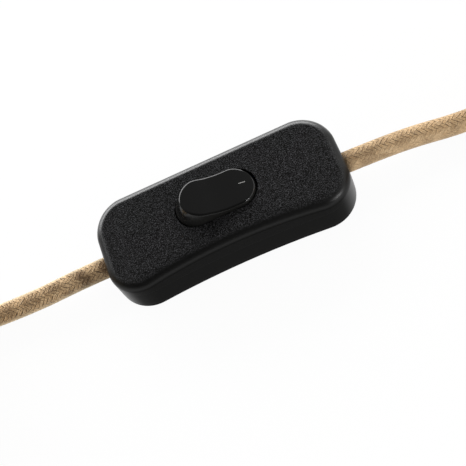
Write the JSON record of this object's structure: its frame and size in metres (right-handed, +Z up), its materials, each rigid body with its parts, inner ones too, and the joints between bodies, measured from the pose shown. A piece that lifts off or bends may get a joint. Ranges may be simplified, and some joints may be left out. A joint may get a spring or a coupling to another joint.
{
  "type": "inline cord switch",
  "caption": "Waisted black inline rocker switch on a braided tan lamp lead, with see-saw contact inside, tied hanks of cord, a flat plug and bare lamp ends.",
  "frame": {"origin": "centre of the housing's underside, on the surface it lies on", "axes": "+X along the body towards the load end, +Y to the back, +Z up through the rocker"},
  "size_m": [0.4074, 0.0476, 0.0338],
  "materials": {
    "housing": "fine spark-grain top, satin sides",
    "rocker": "polished",
    "acetal": "moulded",
    "steel": "zinc plated",
    "brass": "bright",
    "silver": "silver alloy",
    "braid": "woven textile braid",
    "core_brown": "smooth insulation",
    "core_blue": "smooth insulation",
    "clamp": "moulded",
    "tie": "woven strap",
    "plug": "satin",
    "pin": "nickel plated"
  },
  "bodies": {
    "housing": {"base_shell": "housing", "top_cover": "housing", "fixed_contact": "silver", "line_in_terminal": "brass", "line_out_terminal": "brass", "neutral_connector": "brass", "line_in_screw": "steel", "line_out_screw": "steel", "neutral_screw_supply": "steel", "neutral_screw_load": "steel", "supply_cord_end": "braid", "load_cord_end": "braid", "supply_line_core": "core_brown", "supply_neutral_core": "core_blue", "load_line_core": "core_brown", "load_neutral_core": "core_blue", "supply_clamp": "clamp", "load_clamp": "clamp", "supply_clamp_screw_front": "steel", "supply_clamp_screw_rear": "steel", "load_clamp_screw_front": "steel", "load_clamp_screw_rear": "steel", "housing_screw_supply": "steel", "housing_screw_load": "steel", "supply_cord": "braid", "supply_hank": "braid", "supply_tail": "braid", "supply_tie": "tie", "plug_body": "plug", "plug_pin_front": "pin", "plug_pin_rear": "pin", "load_cord": "braid", "load_hank": "braid", "load_tail": "braid", "load_tie": "tie", "load_line_end": "core_brown", "load_neutral_end": "core_blue", "load_line_ferrule": "pin", "load_neutral_ferrule": "pin"},
    "rocker": {"rocker": "rocker", "plunger_spring": "steel"},
    "plunger": {"plunger": "acetal"},
    "contact": {"contact_rocker": "brass", "moving_contact": "silver"}
  },
  "joints": [
    {"name": "rocker_tilt", "type": "hinge", "parent": "housing", "child": "rocker", "pos_m": [0, 0, 0.0152], "axis": [0, 1, 0], "range_deg": [-26, 0]},
    {"name": "contact_rock", "type": "hinge", "parent": "housing", "child": "contact", "pos_m": [0, 0, 0.0065], "axis": [0, 1, 0], "range_deg": [0, 12]},
    {"name": "plunger_slide", "type": "slide", "parent": "rocker", "child": "plunger", "axis": [0.225, 0, 0.9744], "range_m": [0, 0.0006], "stiffness_N_per_m": 400, "springref_m": -0.003, "deforming": ["plunger_spring"]}
  ],
  "couplings": [
    {"joint": "contact_rock", "follows": "rocker_tilt", "ratio": -0.46154}
  ]
}
